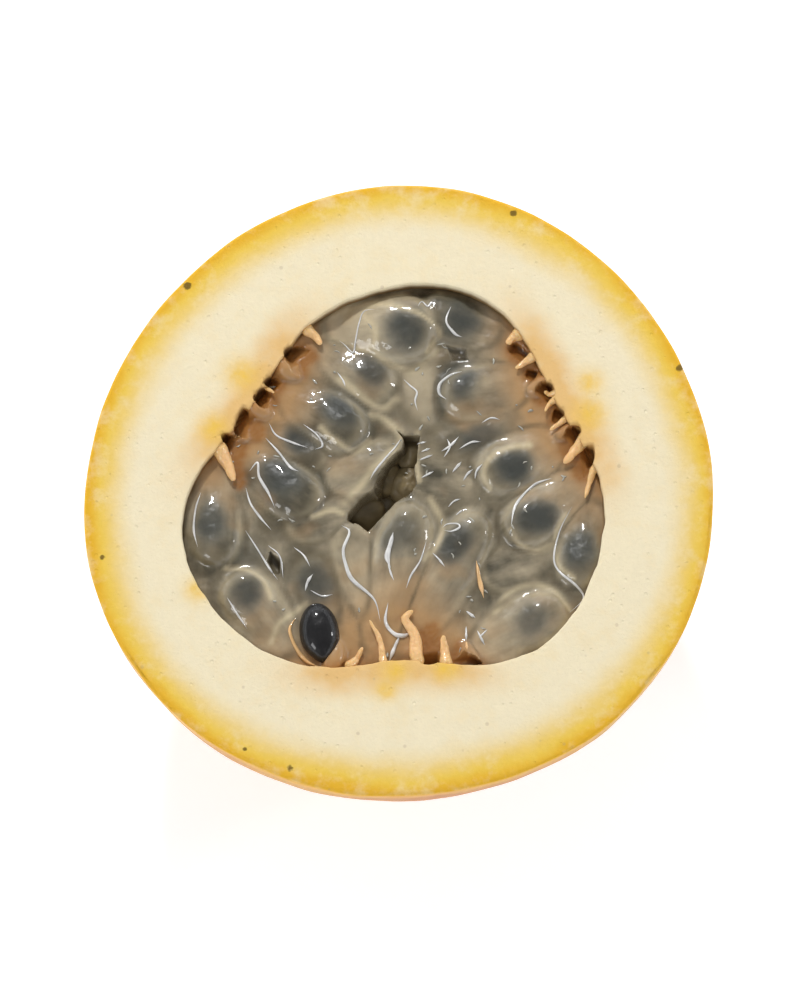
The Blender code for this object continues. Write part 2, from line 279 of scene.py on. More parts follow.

# Pale yellowish edges painted on the sacs, partly their skins and partly painted light: width, then
# points X, Y in millimetres
EDGES = (
    (0.5, (-3.7, 17.7), (-1.4, 16.0), (1.2, 15.0), (3.1, 16.2), (4.4, 17.9)),
    (0.5, (-7.1, 14.0), (-4.8, 12.0), (-2.2, 10.4), (-0.3, 11.6)),
    (0.4, (-9.4, 7.8), (-7.9, 6.4), (-5.6, 5.2), (-3.6, 6.4)),
    (0.45, (15.3, 5.8), (13.1, 5.5), (10.9, 4.4), (9.9, 2.3), (10.6, 0.6)),
    (0.4, (13.1, -4.5), (14.2, -6.2), (16.2, -6.9), (18.0, -6.2)),
    (0.45, (3.6, -0.6), (5.0, -3.4), (4.4, -6.0), (3.0, -8.0)),
    (0.4, (11.3, -14.1), (12.7, -12.1), (15.3, -11.0), (18.0, -11.6), (20.0, -14.0)),
    (0.5, (-3.3, 9.7), (-1.3, 8.6), (0.0, 6.6), (-1.6, 4.5), (-3.3, 2.7), (-4.8, 0.8), (-6.4, -0.9)),
    (0.35, (2.2, 7.7), (1.8, 5.8), (1.9, 3.9), (2.3, 1.6)),
    (0.35, (-10.4, -2.8), (-8.0, -2.0), (-6.8, -2.4)),
    (0.35, (-15.2, -17.9), (-14.2, -15.6), (-12.0, -14.0), (-11.2, -13.2)),
    (0.4, (-4.4, 21.6), (-3.0, 19.6), (-3.2, 17.8)),
    (0.35, (-9.0, 21.2), (-4.9, 22.9), (-1.2, 22.7), (2.4, 21.5), (4.6, 19.5), (3.2, 17.2)),
    (0.35, (-9.3, 20.6), (-8.6, 19.0), (-5.9, 18.0), (-3.6, 17.4)),
    (0.35, (-20.6, -9.0), (-18.4, -9.2), (-16.2, -10.4), (-15.2, -12.6)),
    (0.35, (19.6, -2.6), (18.4, -5.0), (18.6, -8.4), (20.6, -10.4)),
)

# Openings in the heap: depth, then the outline X, Y in millimetres. The first is the slit between
# the three rows of sacs. Their floors lie a little to the front right of their outlines
OPENING_LEAN = Vector((0.6, -0.8))
OPENINGS = (
    (
        8.0,
        (-0.8, 8.2), (0.2, 7.5), (2.1, 7.5), (1.8, 6.1), (1.7, 4.3), (1.4, 3.7), (1.7, 1.6), (0.7, 0.2),
        (-0.3, -0.3), (-2.1, -2.1), (-4.1, -4.2), (-5.3, -3.3), (-6.5, -3.0), (-6.5, -2.0), (-5.1, -0.2),
        (-3.3, 1.1), (-3.0, 2.4), (-1.8, 4.3), (-0.7, 5.5), (0.1, 6.0), (0.2, 6.8), (-0.3, 7.6),
    ),
    (3.2, (-15.9, -6.2), (-14.6, -7.2), (-14.7, -9.1), (-15.6, -9.0), (-16.3, -7.4)),
    (3.0, (4.9, 18.8), (7.4, 18.4), (7.6, 17.0), (5.6, 16.8)),
)

# Sacs that show deep in the slit: X, Y, how far below the cut face and radius in millimetres
DEEP_SACS = (
    (1.2, 6.0, 6.6, 2.2),
    (-2.4, 3.2, 7.6, 2.8),
    (1.2, 1.8, 7.0, 2.4),
    (-4.4, -1.4, 7.2, 2.6),
)

# Brown pits in the wall between the stalks: depth at the wall, how much of it goes for each
# millimetre inwards, how far their colour fades, then the outlines X, Y in millimetres
PIT_DEPTH = 3.8
PIT_SLOPE = 1.2
PIT_FADE = 0.35
PITS = (
    (
        (-13.9, 17.0), (-12.4, 17.9), (-10.8, 17.5), (-10.1, 16.6), (-11.2, 15.7), (-11.5, 14.3),
        (-12.7, 14.5),
    ),
    ((-16.4, 13.1), (-15.4, 14.1), (-13.9, 13.4), (-14.4, 12.5), (-15.3, 12.5)),
    ((-17.5, 11.5), (-16.4, 12.7), (-15.2, 12.2), (-14.8, 11.2), (-15.6, 10.2), (-16.7, 10.2)),
    ((-18.6, 10.2), (-17.2, 9.3), (-16.3, 7.8), (-16.8, 6.6), (-18.6, 6.6), (-19.7, 7.2), (-19.5, 9.0)),
    ((-21.3, 6.8), (-19.4, 7.0), (-18.4, 5.8), (-19.0, 3.6), (-18.7, 1.2), (-19.4, 1.0), (-19.8, 4.0)),
    ((13.9, 18.4), (15.6, 16.9), (14.8, 15.9), (13.4, 16.4), (12.9, 17.6)),
    ((15.2, 15.1), (16.4, 14.9), (15.9, 13.9), (15.0, 14.2)),
    ((16.9, 13.4), (18.2, 13.0), (18.3, 11.4), (17.2, 10.9), (16.2, 11.4), (16.0, 12.6)),
    ((18.4, 10.3), (19.5, 9.8), (19.2, 8.6), (18.1, 8.8)),
    ((20.0, 8.0), (21.4, 7.9), (21.3, 6.4), (20.0, 4.8), (19.2, 5.2), (19.3, 6.8)),
    ((21.4, 5.2), (22.9, 5.6), (23.0, 3.8), (21.9, 1.9), (20.9, 2.2), (20.9, 3.8)),
    ((2.5, -20.6), (2.3, -18.8), (2.7, -16.6), (4.0, -15.8), (4.5, -17.3), (4.7, -19.4), (4.3, -20.6)),
    ((6.6, -20.7), (6.3, -19.3), (7.0, -17.9), (7.6, -18.9), (9.0, -19.7), (9.6, -20.6)),
)

# Small dark marks on the rim: X, Y and radius in millimetres
MARKS = (
    (-25.3, 24.9, 0.6),
    (13.6, 33.8, 0.45),
    (33.3, 14.9, 0.55),
    (-35.1, -7.9, 0.4),
    (-12.9, -33.1, 0.45),
    (-18.2, -30.8, 0.35),
)

# Yellow spots on the pith beside the stalks: X, Y and radius in millimetres
YELLOW_SPOTS = (
    (-18.8, 14.1, 2.0),
    (-22.2, 7.6, 1.8),
    (22.6, 13.1, 1.5),
    (22.6, 9.4, 2.0),
    (-0.6, -21.6, 1.6),
    (-1.6, -23.8, 1.3),
    (5.4, -21.2, 1.6),
    (-24.0, -11.9, 1.4),
)

# The floor is flat out to a radius, curves up and ends in a low wall: sizes in metres
FLOOR_RADIUS = 1.1
COVE_RADIUS = 0.3
WALL_TOP = 0.8

# Square lamps that face the fruit: name, place and side in metres, and power in watts
SOFTBOXES = (
    ("key", (-0.12, 0.6, 0.62), 0.08, 3.8),
    ("right", (0.7, 0.1, 0.45), 0.1, 0.8),
    ("left", (-0.5, -0.42, 0.6), 0.24, 1.3),
)

# What the camera looks at, the width of its film in millimetres and the picture's sides in pixels
AIM = Vector((0, -0.5 * MM, FACE_Z - 3 * MM))
FILM = 36
PICTURE_WIDTH = 800
PICTURE_HEIGHT = 1000


def srgb(red, green, blue):
    """A colour as Blender's shaders want it, from the 0 to 255 values that a picture shows."""
    return tuple(
        part / 12.92 if part <= 0.04045 else ((part + 0.055) / 1.055) ** 2.4
        for part in (red / 255, green / 255, blue / 255)
    )


def length(name, description, default):
    """A size that the panel shows in the user's own unit."""
    return FloatProperty(name=name, description=description, default=default, unit="LENGTH", precision=5)


def tint(name, description, *default):
    """A colour, with its default as red, green and blue from 0 to 255."""
    return FloatVectorProperty(
        name=name, description=description, default=srgb(*default), subtype="COLOR", size=3, min=0, max=1
    )


class FruitSizes(PropertyGroup):
    """Sizes of the rind and the pulp"""

    face_radius: length("Face radius", "Mean radius of the cut face", 37 * MM)
    rest_radius: length("Resting spot", "Radius of the flat spot at the blossom end", 8 * MM)
    rim: length("Rim", "How far the edge of the cut face is rounded", 0.45 * MM)
    hollow_radius: length("Hollow radius", "Mean radius of the hollow at the cut face", 23.5 * MM)
    hollow_depth: length("Hollow depth", "Depth of the hollow below the cut face", 33 * MM)
    lip: length("Lip", "How far the inner edge of the cut face is rounded", 0.35 * MM)
    gap: length("Gap", "Space between the pulp and the rind", 0.3 * MM)
    pool_drop: length("Jelly level", "Depth of the jelly between the sacs", 1.7 * MM)
    voxel: length("Detail", "Mesh size of the jelly", 0.33 * MM)
    around: IntProperty(
        name="Steps around", description="Facets round the rind", default=240, min=24,
    )


class FruitColours(PropertyGroup):
    """Colours of every finish"""

    skin: tint("Skin", "Golden skin", 202, 140, 12)
    skin_deep: tint("Deep skin", "Skin where it is ripest", 188, 112, 6)
    skin_green: tint("Green skin", "Skin where it is less ripe", 188, 144, 20)
    skin_fleck: tint("Skin flecks", "Pale flecks on the skin", 240, 190, 84)
    scar: tint("Scars", "Old marks on the skin", 150, 104, 52)
    mark: tint("Marks", "Small dark marks on the rim", 110, 88, 36)
    rim: tint("Rim", "Flesh just under the skin", 232, 178, 46)
    under_rim: tint("Under the rim", "Yellow flesh inside the rim", 238, 199, 80)
    pith: tint("Pith", "Cream-white pith", 243, 229, 195)
    pith_cloud: tint("Pith clouds", "Warmer clouds in the pith", 240, 220, 176)
    pith_speck: tint("Pith specks", "Small brownish specks in the pith", 176, 150, 118)
    # Painted shade: the dark colour that the wall of the hollow takes below its edge stands for the
    # shadow there
    wall: tint("Wall", "Wall of the hollow below its edge", 146, 118, 80)
    placenta: tint("Placenta", "Peach flesh that the stalks grow from", 232, 190, 126)
    pit: tint("Pits", "Brown hollows between the stalks", 150, 96, 38)
    stalk: tint("Stalks", "Stalks of the sacs", 238, 190, 130)
    yellow_spot: tint("Yellow spots", "Yellow flesh beside the stalks", 240, 196, 84)
    jelly: tint("Jelly", "Grey jelly of the sacs", 77, 72, 58)
    jelly_clear: tint("Clear jelly", "Palest jelly of the sacs", 186, 171, 143)
    # Painted light: a sac's pale edge is partly its skin and partly light gathered through the jelly
    jelly_edge_light: tint("Edge of a sac", "Pale edge round a sac", 204, 188, 154)
    # Painted shade in the creases between the sacs and where the jelly lies low between them
    jelly_shade: tint("Deep jelly", "Jelly low between the sacs", 88, 77, 56)
    jelly_warm: tint("Warm jelly", "Jelly near the stalks", 182, 144, 98)
    jelly_root: tint("Root jelly", "Jelly at the very roots of the sacs", 182, 130, 74)
    seed_haze: tint("Haze of a seed", "Blue-grey haze round a seed inside its sac", 100, 99, 90)
    seed_shade: tint("Seed in jelly", "Dark middle of a seed inside its sac", 64, 65, 60)
    slit: tint("Slit", "Brown depth of the slit", 132, 116, 84)
    # Painted highlight: the near-white of the folds stands for the light that their wet ridges catch
    fold: tint("Folds", "Clear skin that stands up between the sacs", 226, 224, 220)
    # Painted highlight: the pale colour of the small wrinkles stands for the glints that they catch
    glint: tint("Wrinkles", "Small wrinkles of the clear skin", 176, 172, 158)
    bare_seed: tint("Bare seed", "Black seed that lies open", 13, 12, 13)
    # Partly the grain of the seed's pits, partly a painted sheen on the black seed
    seed_grain_and_sheen: tint("Seed grain", "Lighter grain on the bare seed", 26, 24, 25)
    floor: tint("Floor", "Pale floor", 250, 250, 250)


class StageSettings(PropertyGroup):
    """Where the camera stands, and how bright the floor and the sky are"""

    elevation: FloatProperty(
        name="Elevation", description="Camera's height above the horizon",
        default=math.radians(79), subtype="ANGLE",
    )
    distance: length("Distance", "From the camera to the fruit", 0.62)
    view_width: length("View width", "Width that the picture takes in at the fruit", 0.095)
    glow: FloatProperty(name="Floor glow", description="Light that the floor gives off", default=0.42)
    sky: FloatProperty(name="Sky", description="Light from all sides", default=0.32)


class Wire:
    """A value in a shader. Arithmetic on it adds Math nodes to its finish."""

    def __init__(self, finish, socket):
        self.finish = finish
        self.socket = socket

    def maths(self, operation, *values, clamp=False):
        """One Math node on some values."""
        return self.finish.node(
            "Math", {"operation": operation, "use_clamp": clamp}, dict(enumerate(values))
        )

    def __add__(self, other):
        return self.maths("ADD", self, other)

    def __sub__(self, other):
        return self.maths("SUBTRACT", self, other)

    def __mul__(self, other):
        return self.maths("MULTIPLY", self, other)

    def __radd__(self, other):
        return self.maths("ADD", other, self)

    def __rsub__(self, other):
        return self.maths("SUBTRACT", other, self)

    def __rmul__(self, other):
        return self.maths("MULTIPLY", other, self)

    def between(self, low, high):
        """0 below low, 1 above high, and a smooth step from one to the other."""
        return self.finish.node(
            "MapRange", {"interpolation_type": "SMOOTHSTEP"},
            {"Value": self, "From Min": low, "From Max": high},
        )

    def clamped(self):
        """The value kept between 0 and 1."""
        return self.maths("ADD", self, 0, clamp=True)

    def beside(self, output):
        """Another output of the same node."""
        return Wire(self.finish, self.socket.node.outputs[output])


class Finish:
    """A material built from nodes, with positions in millimetres."""

    def __init__(self, name):
        self.material = bpy.data.materials.new(name)
        self.material.use_nodes = True
        self.tree = self.material.node_tree
        self.surface = self.tree.nodes["Principled BSDF"]
        place = self.node("TexCoord", output="Object")
        scale = {"Scale": (1 / MM, 1 / MM, 1 / MM)}
        self.place = self.node("Mapping", {"vector_type": "POINT"}, {"Vector": place, **scale})

    def node(self, kind, settings=None, values=None, output=0):
        """Adds a node, sets it up, fills its sockets and returns one of its outputs."""
        made = self.tree.nodes.new(f"ShaderNode{kind}")
        for key, value in (settings or {}).items():
            setattr(made, key, value)
        for key, value in (values or {}).items():
            self.plug(made.inputs[key], value)
        return Wire(self, made.outputs[output])

    def plug(self, socket, value):
        """Links a wire to a socket, or sets a number or a colour on it."""
        if isinstance(value, Wire):
            self.tree.links.new(value.socket, socket)
        elif hasattr(value, "__len__") and len(value) == 3 and len(socket.default_value) == 4:
            socket.default_value = (*value, 1)
        else:
            socket.default_value = value

    def attribute(self, name):
        """A number that the mesh keeps for each vertex."""
        return self.node("Attribute", {"attribute_name": name}, output="Fac")

    def mix(self, factor, first, second):
        """A colour that goes from the first to the second as factor goes from 0 to 1."""
        settings = {"data_type": "RGBA", "blend_type": "MIX", "clamp_factor": True}
        return self.node("Mix", settings, {0: factor, 6: first, 7: second}, output=2)

    def shade(self, colour, strength):
        """The colour made lighter or darker: strength is a value round 1."""
        settings = {"operation": "SCALE"}
        return self.node("VectorMath", settings, {0: colour, "Scale": strength})

    def noise(self, scale, detail=3, roughness=0.5, place=None):
        """Soft noise round 0.5, with scale in waves a millimetre."""
        grain = {"Scale": scale, "Detail": detail, "Roughness": roughness}
        return self.node("TexNoise", {}, {"Vector": place or self.place, **grain}, output="Fac")

    def spots(self, spacing, radius, share):
        """Round spots, one in some of the cells of a grid: spacing and radius in millimetres."""
        grid = {"Vector": self.place, "Scale": 1 / spacing}
        cells = self.node("TexVoronoi", {"feature": "F1"}, grid, output="Distance")
        chance = self.node("SeparateColor", {}, {0: cells.beside("Color")}, output="Red")
        chosen = chance.maths("LESS_THAN", chance, share)
        edge = radius / spacing
        return (1 - cells.between(edge * 0.5, edge)) * chosen

    def disc(self, x, y, radius):
        """An uneven round spot seen from above, with its middle and radius in millimetres."""
        flat = self.node("VectorMath", {"operation": "MULTIPLY"}, {0: self.place, 1: (1, 1, 0)})
        gap = self.node("VectorMath", {"operation": "DISTANCE"}, {0: flat, 1: (x, y, 0)}, output="Value")
        return (gap + (self.noise(1.6, 2) - 0.5) * radius * 1.6).between(radius, radius * 0.5)

    def bump(self, height, distance):
        """A normal from a height, with distance in millimetres for a height of 1."""
        return self.node("Bump", {}, {"Height": height, "Distance": distance * MM, "Strength": 1})

    def dress(self, values, piece):
        """Fills the surface's sockets and puts the material on the piece."""
        for key, value in values.items():
            self.plug(self.surface.inputs[key], value)
        piece.data.materials.clear()
        piece.data.materials.append(self.material)


def swell(waves, bearing):
    """How far an outline stands out from its mean radius at a bearing in radians."""
    return sum(
        height * np.cos(count * (bearing - math.radians(crest)))
        for count, height, crest in waves
    )


def body_reach(sizes, bearing):
    """Radius of the cut face at a bearing in radians."""
    return sizes.face_radius + swell(BODY_WAVES, bearing)


def hollow_reach(sizes, bearing):
    """Radius of the hollow at the cut face, at a bearing in radians."""
    return sizes.hollow_radius + swell(HOLLOW_WAVES, bearing)


def body_length(sizes):
    """Half the length that the whole fruit would have if its end were not flat."""
    share = (sizes.rest_radius / sizes.face_radius) ** BODY_POWER
    return FACE_Z / (1 - share) ** (1 / BODY_POWER)


def turns(rows, last=math.pi / 2):
    """Angles in equal steps up to the last one, without 0 itself."""
    return [last * row / rows for row in range(1, rows + 1)]


def bowl_point(radius, depth, power, turn):
    """Radius and depth on the side of a bowl: turn is 0 at its rim and a right angle at its floor."""
    share = math.cos(turn)
    return radius * share, depth * (1 - share**power) ** (1 / power)


def spun(profile, steps):
    """A bmesh turned about Z from a profile of radius and height with both ends on the axis."""
    shape = bmesh.new()
    line = [shape.verts.new((radius, 0, height)) for radius, height in profile]
    edges = [shape.edges.new(pair) for pair in zip(line, line[1:])]
    bmesh.ops.spin(
        shape, geom=line + edges, cent=(0, 0, 0), axis=(0, 0, 1),
        angle=math.tau, steps=steps, use_merge=True,
    )
    bmesh.ops.remove_doubles(shape, verts=shape.verts, dist=0.001 * MM)
    bmesh.ops.recalc_face_normals(shape, faces=shape.faces)
    return shape


def add_lobe(shape, path, girth, sides, rings, flat=1.0, back=1.0):
    """Adds a bent body with round ends: a sphere drawn out along a path, with its girth by a rule."""
    lobe = bmesh.new()
    bmesh.ops.create_uvsphere(lobe, u_segments=sides, v_segments=rings, radius=1)
    step = 0.02
    for vert in lobe.verts:
        share = (vert.co.z + 1) / 2
        ahead = (path(min(share + step, 1)) - path(max(share - step, 0))).normalized()
        side = Vector((0, 0, 1)).cross(ahead).normalized()
        up = ahead.cross(side)
        height = math.copysign(abs(vert.co.y) ** back, vert.co.y) * flat
        vert.co = path(share) + (side * vert.co.x + up * height) * girth(share)
    mesh = bpy.data.meshes.new("lobe")
    lobe.to_mesh(mesh)
    lobe.free()
    shape.from_mesh(mesh)
    bpy.data.meshes.remove(mesh)


def bow(root, bend, tip):
    """A path that leaves the root towards the bend and arrives at the tip."""
    return lambda share: root.lerp(bend, share).lerp(bend.lerp(tip, share), share)


def smooth_path(points):
    """A path through all of the points, at an even pace from one to the next."""
    points = [Vector(point) for point in points]
    ends = [2 * points[0] - points[1], *points, 2 * points[-1] - points[-2]]

    def path(share):
        run = min(share, 0.9999) * (len(points) - 1)
        first = int(run)
        before, start, stop, after = ends[first : first + 4]
        step = run - first
        return 0.5 * (
            2 * start
            + (stop - before) * step
            + (2 * before - 5 * start + 4 * stop - after) * step**2
            + (3 * start - before - 3 * stop + after) * step**3
        )

    return path


def as_piece(name, shape):
    """Turns a bmesh into a smooth object in the scene."""
    mesh = bpy.data.meshes.new(name)
    shape.to_mesh(mesh)
    shape.free()
    mesh.shade_smooth()
    made = bpy.data.objects.new(name, mesh)
    bpy.context.scene.collection.objects.link(made)
    return made


def apply_modifiers(piece):
    """Turns the piece's modifiers into mesh."""
    graph = bpy.context.evaluated_depsgraph_get()
    mesh = bpy.data.meshes.new_from_object(piece.evaluated_get(graph))
    piece.modifiers.clear()
    piece.data = mesh
    mesh.shade_smooth()


def roughen(mesh, wave, height):
    """Moves each vertex along its normal by soft noise: wavelength and height in millimetres."""
    points = points_of(mesh)
    normals = np.empty(points.size, np.float32)
    mesh.vertex_normals.foreach_get("vector", normals)
    lift = [noise.fractal(Vector(point) / wave, 1.0, 2.0, 3) * height for point in points]
    points += normals.reshape(-1, 3) * np.array(lift)[:, None]
    mesh.vertices.foreach_set("co", (points * MM).astype(np.float32).ravel())
    mesh.update()


def store(mesh, name, values):
    """Keeps one number for each vertex, which a material reads by name."""
    layer = mesh.attributes.new(name, "FLOAT", "POINT")
    layer.data.foreach_set("value", np.asarray(values, np.float32))


def points_of(mesh):
    """The mesh's vertices as rows of millimetres."""
    points = np.empty(len(mesh.vertices) * 3, np.float32)
    mesh.vertices.foreach_get("co", points)
    return points.reshape(-1, 3) / MM


def hand_over(piece, slot, *nodes):
    """Rides the piece on the fruit and hides the solids that it stands for; the slot is not used."""
    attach(piece, "root")
    if nodes:
        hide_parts(*nodes)


def smooth_step(low, high, values):
    """0 before low, 1 after high, and a smooth step from one to the other."""
    share = np.clip((values - low) / (high - low), 0, 1)
    return share * share * (3 - 2 * share)


def body_profile(sizes):
    """Radius and height round the rind: up the hollow, over the cut face and down the skin."""
    points = [(0, FACE_Z - sizes.hollow_depth)]
    for turn in reversed(turns(30)[:-1]):
        radius, drop = bowl_point(sizes.hollow_radius, sizes.hollow_depth, HOLLOW_POWER, turn)
        if drop > sizes.lip:
            points.append((radius, FACE_Z - drop))
    for turn in (0, *turns(4)):
        inner = sizes.hollow_radius + sizes.lip * (1 - math.cos(turn)) * 0.6
        points.append((inner, FACE_Z - sizes.lip * (1 - math.sin(turn))))
    outer = sizes.face_radius - sizes.rim
    rows = 34
    points += [(inner + (outer - inner) * row / rows, FACE_Z) for row in range(1, rows + 1)]
    for turn in turns(4):
        points.append((outer + sizes.rim * math.sin(turn), FACE_Z - sizes.rim * (1 - math.cos(turn))))
    for turn in turns(44, math.acos(sizes.rest_radius / sizes.face_radius)):
        radius, drop = bowl_point(sizes.face_radius, body_length(sizes), BODY_POWER, turn)
        if drop > sizes.rim:
            points.append((radius, FACE_Z - drop))
    points.append((0, 0))
    return points


def placenta_share(bearing):
    """1 where the stalks grow, and 0 midway between the three rows of them."""
    share = 0
    for middle in PLACENTAS:
        off = (bearing - math.radians(middle) + math.pi) % math.tau - math.pi
        share = share + np.exp(-((off / PLACENTA_SPAN) ** 4))
    return share


def rounded(outline, steps=4):
    """A closed outline with its corners rounded: more points X, Y in millimetres."""
    count = len(outline)
    points = [Vector(outline[place % count]) for place in range(-1, count + 2)]
    path = smooth_path([(*point, 0) for point in points])
    return [path((1 + step / steps) / (count + 2)).xy for step in range(count * steps)]


def add_prism(shape, outline, depth, slope=0.0, lean=(0, 0)):
    """Adds a closed body from above an outline down to a depth, which a slope lessens inwards."""
    far = max(math.hypot(x, y) for x, y in outline)
    top = shape.faces.new([shape.verts.new((x * MM, y * MM, FACE_Z + 4 * MM)) for x, y in outline])
    grown = bmesh.ops.extrude_face_region(shape, geom=[top], use_keep_orig=True)["geom"]
    for vert in (item for item in grown if isinstance(item, bmesh.types.BMVert)):
        place = vert.co.xy / MM
        drop = max(depth - slope * (far - place.length), 1.0)
        vert.co.xy = (place + Vector(lean)) * MM
        vert.co.z = FACE_Z - drop * MM


def openings(rows=()):
    """The pits between the stalks, and the given openings in the heap, as closed bodies."""
    shape = bmesh.new()
    for outline in PITS:
        add_prism(shape, rounded(outline), PIT_DEPTH, PIT_SLOPE)
    for depth, *outline in rows:
        add_prism(shape, outline, depth, lean=OPENING_LEAN)
    bmesh.ops.triangulate(shape, faces=shape.faces)
    bmesh.ops.recalc_face_normals(shape, faces=shape.faces)
    return shape


def cut_open(piece, shape, name):
    """Takes a closed shape out of the piece."""
    cutter = as_piece(name, shape)
    modifier = piece.modifiers.new(name, "BOOLEAN")
    modifier.operation = "DIFFERENCE"
    modifier.object = cutter
    modifier.solver = "MANIFOLD"
    apply_modifiers(piece)
    bpy.data.objects.remove(cutter)


def pit_share(points):
    """1 in a pit, fading to 0 beyond its edge."""
    share = np.zeros(len(points))
    for outline in PITS:
        middle = sum((Vector(point) for point in outline), Vector((0, 0))) / len(outline)
        for point in rounded(outline, 2):
            for reach in (0.1, 0.4, 0.7, 0.95):
                place = middle.lerp(point, reach)
                gap = (points[:, 0] - place.x) ** 2 + (points[:, 1] - place.y) ** 2
                share = np.maximum(share, np.exp(-gap / PIT_FADE))
    return share


class FRUIT_OT_rind(Operator):
    """Builds the skin and the pith round the hollow"""

    bl_idname = "fruit.rind"
    bl_label = "Rind"

    def execute(self, context):
        sizes = context.scene.fruit_sizes
        shape = spun(body_profile(sizes), sizes.around)
        for vert in shape.verts:
            if math.hypot(vert.co.x, vert.co.y) > 0.01 * MM:
                self.shift(sizes, vert)
        bmesh.ops.recalc_face_normals(shape, faces=shape.faces)
        piece = as_piece("rind_flesh", shape)
        cut_open(piece, openings(), "pits")
        paint_rind(sizes, piece.data)
        rind_finish(context.scene.fruit_colours, piece)
        hand_over(piece, "rind", "rind")
        return {"FINISHED"}

    def shift(self, sizes, vert):
        """Moves a vertex of the round rind to the fruit's uneven outline."""
        radius = math.hypot(vert.co.x, vert.co.y)
        bearing = math.atan2(vert.co.y, vert.co.x)
        drop = FACE_Z - vert.co.z
        body = body_reach(sizes, bearing)
        ahead = Vector((math.cos(bearing), math.sin(bearing), 0))
        hollow = hollow_reach(sizes, bearing) + noise.fractal(ahead * 7, 0.8, 2.3, 5) * TORN_EDGE
        if radius < self.hollow_at(sizes, drop) + sizes.lip:
            grown = radius * hollow / sizes.hollow_radius
        elif drop < 0.001 * MM:
            share = (radius - sizes.hollow_radius) / (sizes.face_radius - sizes.hollow_radius)
            grown = hollow + (body - hollow) * share
            vert.co.z += noise.fractal(vert.co / (2.5 * MM), 1.0, 2.0, 3) * FACE_GRAIN
        else:
            place = Vector((math.cos(bearing) * 3, math.sin(bearing) * 3, vert.co.z / (12 * MM)))
            fade = min(1, vert.co.z / (6 * MM))
            uneven = noise.fractal(place, 1.0, 2.0, 3) * SKIN_GRAIN * fade
            grown = radius * body / sizes.face_radius + uneven
        vert.co.x = grown * math.cos(bearing)
        vert.co.y = grown * math.sin(bearing)

    def hollow_at(self, sizes, drop):
        """Radius of the round hollow at a depth below the cut face, and less than 0 under its floor."""
        share = max(1 - (drop / sizes.hollow_depth) ** HOLLOW_POWER, 0) if drop > 0 else 1
        return sizes.hollow_radius * share ** (1 / HOLLOW_POWER) if share else -1


def paint_rind(sizes, mesh):
    """Keeps for each vertex what the finish asks: skin or flesh, and how near to edges and pits."""
    points = points_of(mesh)
    drop = FACE_Z / MM - points[:, 2]
    radius = np.hypot(points[:, 0], points[:, 1])
    bearing = np.arctan2(points[:, 1], points[:, 0])
    body = body_reach(sizes, bearing) / MM
    hollow = hollow_reach(sizes, bearing) / MM
    level = np.clip(drop * MM / body_length(sizes), 0, 1)
    outside = radius > body * (1 - level**BODY_POWER) ** (1 / BODY_POWER) - 0.6
    skin = (drop > sizes.rim * 0.8 / MM) & (outside | (points[:, 2] < 1))
    yellow = np.zeros(len(points))
    for x, y, size in YELLOW_SPOTS:
        gap = np.hypot(points[:, 0] - x, points[:, 1] - y) / size
        yellow = np.maximum(yellow, np.exp(-(gap**2)))
    store(mesh, "flesh", np.where(skin, 0, 1))
    store(mesh, "edge", smooth_step(4, 0.5, drop))
    store(mesh, "depth", np.where(skin, 0, body - radius))
    store(mesh, "zone", placenta_share(bearing) * smooth_step(5.2, 0.5, radius - hollow))
    # How far down the hollow's wall each vertex lies, which sets the painted shade there
    store(mesh, "wall", np.where(skin | (radius > hollow + 0.6), 0, drop))
    store(mesh, "pit", np.where(skin, 0, pit_share(points) * smooth_step(0.1, 0.9, drop)))
    store(mesh, "yellow", yellow)


